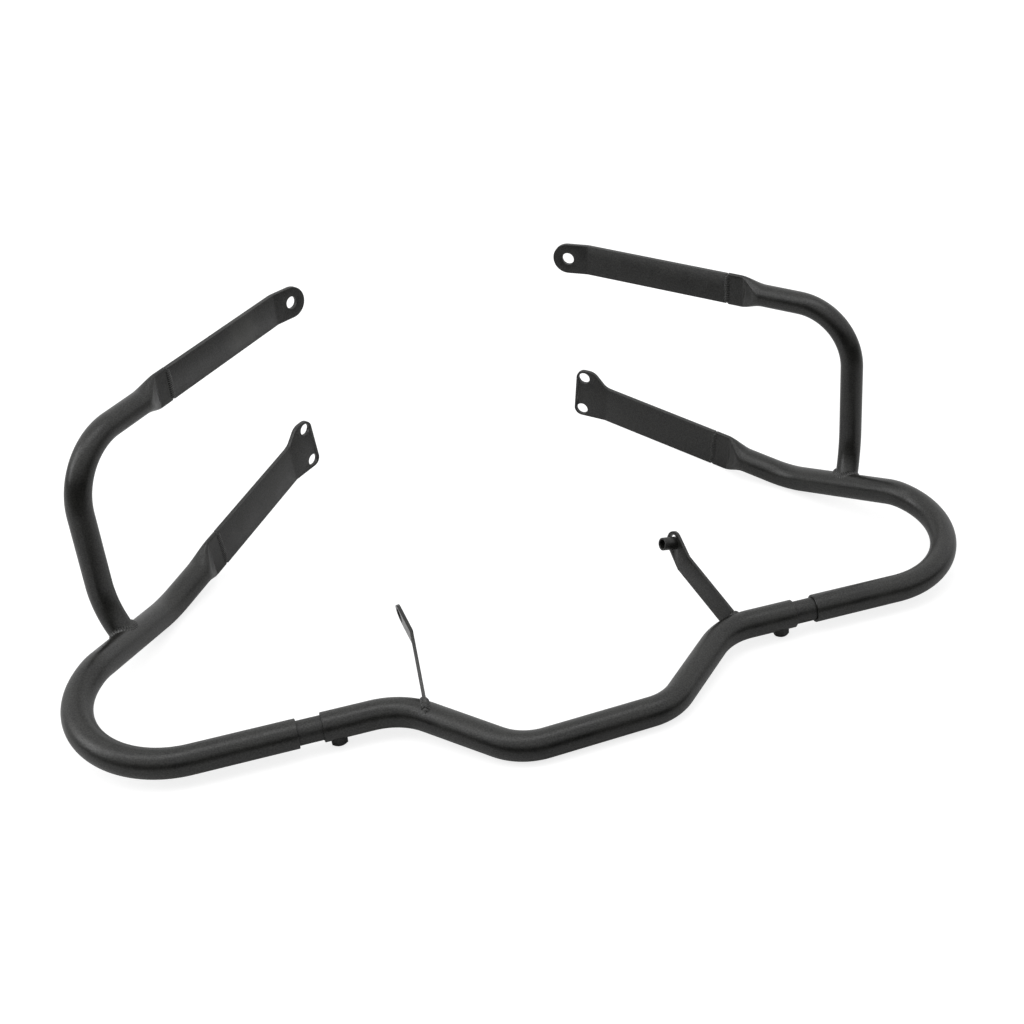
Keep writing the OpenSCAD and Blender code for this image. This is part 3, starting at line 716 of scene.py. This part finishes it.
def sheet(name, size):
    """A square sheet on the ground, from -size to size in X and Y."""
    mesh = bpy.data.meshes.new(name)
    mesh.from_pydata([(-size, -size, 0), (size, -size, 0), (size, size, 0), (-size, size, 0)],
                     [], [(0, 1, 2, 3)])
    o = bpy.data.objects.new(name, mesh)
    bpy.context.scene.collection.objects.link(o)
    return o


# Floor: matt white paper, pure white to the eye but for the soft shadow under the bars
floor = sheet("studio floor", FLOOR_HALF)
floor_paper = bpy.data.materials.new("white paper floor")
floor_paper.use_nodes = True
t = floor_paper.node_tree
paper = t.nodes["Principled BSDF"]
paper.inputs["Roughness"].default_value = 1.0
paper.inputs["Specular IOR Level"].default_value = 0.0
seen = add(t, "ShaderNodeLightPath").outputs["Is Camera Ray"]
place = add(t, "ShaderNodeTexCoord").outputs["Object"]
front = add(t, "ShaderNodeSeparateXYZ", Vector=place).outputs["Y"]
# Painted shade: for all but camera rays the floor's colour is dark in front of the part
shaded = add(t, "ShaderNodeMapRange", {"From Min": SHADE_FROM, "From Max": SHADE_TO,
             "To Min": DARK_FLOOR, "To Max": PALE_FLOOR}, Value=front)
shade = add(t, "ShaderNodeMix", {"data_type": "RGBA"}, Factor=seen)
t.links.new(shaded.outputs["Result"], shade.inputs[6])
shade.inputs[7].default_value = (SEEN_FLOOR, SEEN_FLOOR, SEEN_FLOOR, 1)
t.links.new(shade.outputs[2], paper.inputs["Base Color"])
glow = add(t, "ShaderNodeMath", {"operation": "MULTIPLY"})
t.links.new(seen, glow.inputs[0])
glow.inputs[1].default_value = FLOOR_GLOW
paper.inputs["Emission Color"].default_value = (1, 1, 1, 1)
t.links.new(glow.outputs[0], paper.inputs["Emission Strength"])
floor.data.materials.append(floor_paper)
print("floor:", 2 * FLOOR_HALF, "m wide")

# %% World
# The room is brightest this way, and from bright to dark within these cosines to it
BRIGHT_WAY, COS_DARK, COS_BRIGHT = (0.1, 0.3, 0.95), -0.08, 0.45
DARK_ROOM, BRIGHT_ROOM = 0.03, 1.0

scene = bpy.context.scene
world = bpy.data.worlds.new("studio")
world.use_nodes = True
t = world.node_tree
room = t.nodes["Background"]
room.inputs["Color"].default_value = (1, 1, 1, 1)
way = add(t, "ShaderNodeTexCoord").outputs["Generated"]
lean = add(t, "ShaderNodeVectorMath", {"operation": "DOT_PRODUCT"})
t.links.new(way, lean.inputs[0])
lean.inputs[1].default_value = unit(BRIGHT_WAY).tolist()
level = add(t, "ShaderNodeMapRange", {"From Min": COS_DARK, "From Max": COS_BRIGHT,
            "To Min": DARK_ROOM, "To Max": BRIGHT_ROOM,
            "interpolation_type": "SMOOTHSTEP"}, Value=lean.outputs["Value"])
t.links.new(level.outputs["Result"], room.inputs["Strength"])
scene.world = world
print("room: strength", DARK_ROOM, "to", BRIGHT_ROOM)


# %% Lamps
def softbox(name, place, target, size, power):
    """A rectangle of light at a place, turned to a target, with its size in metres and its
    power in watts. Its z axis points away from the target, as a lamp shines along -z."""
    lamp = bpy.data.lights.new(name, "AREA")
    lamp.shape, lamp.size, lamp.size_y, lamp.energy = "RECTANGLE", size[0], size[1], power
    o = bpy.data.objects.new(name, lamp)
    scene.collection.objects.link(o)
    z = unit(np.array(place, float) - target)
    x = unit(np.cross((0, 1, 0.01), z))
    turn = Matrix(np.array([x, np.cross(z, x), z]).T.tolist())
    o.matrix_world = Matrix.Translation(place) @ turn.to_4x4()
    print("lamp:", name, power, "W")


softbox("soft light above", (-0.3, -0.2, 2.3), (0, 0, 0), (2.6, 0.9), 12)
softbox("soft light on the left", (-2.0, 0.2, 1.35), (0, 0, 0.05), (1.3, 0.9), 11)
scene.view_settings.view_transform = "Standard"
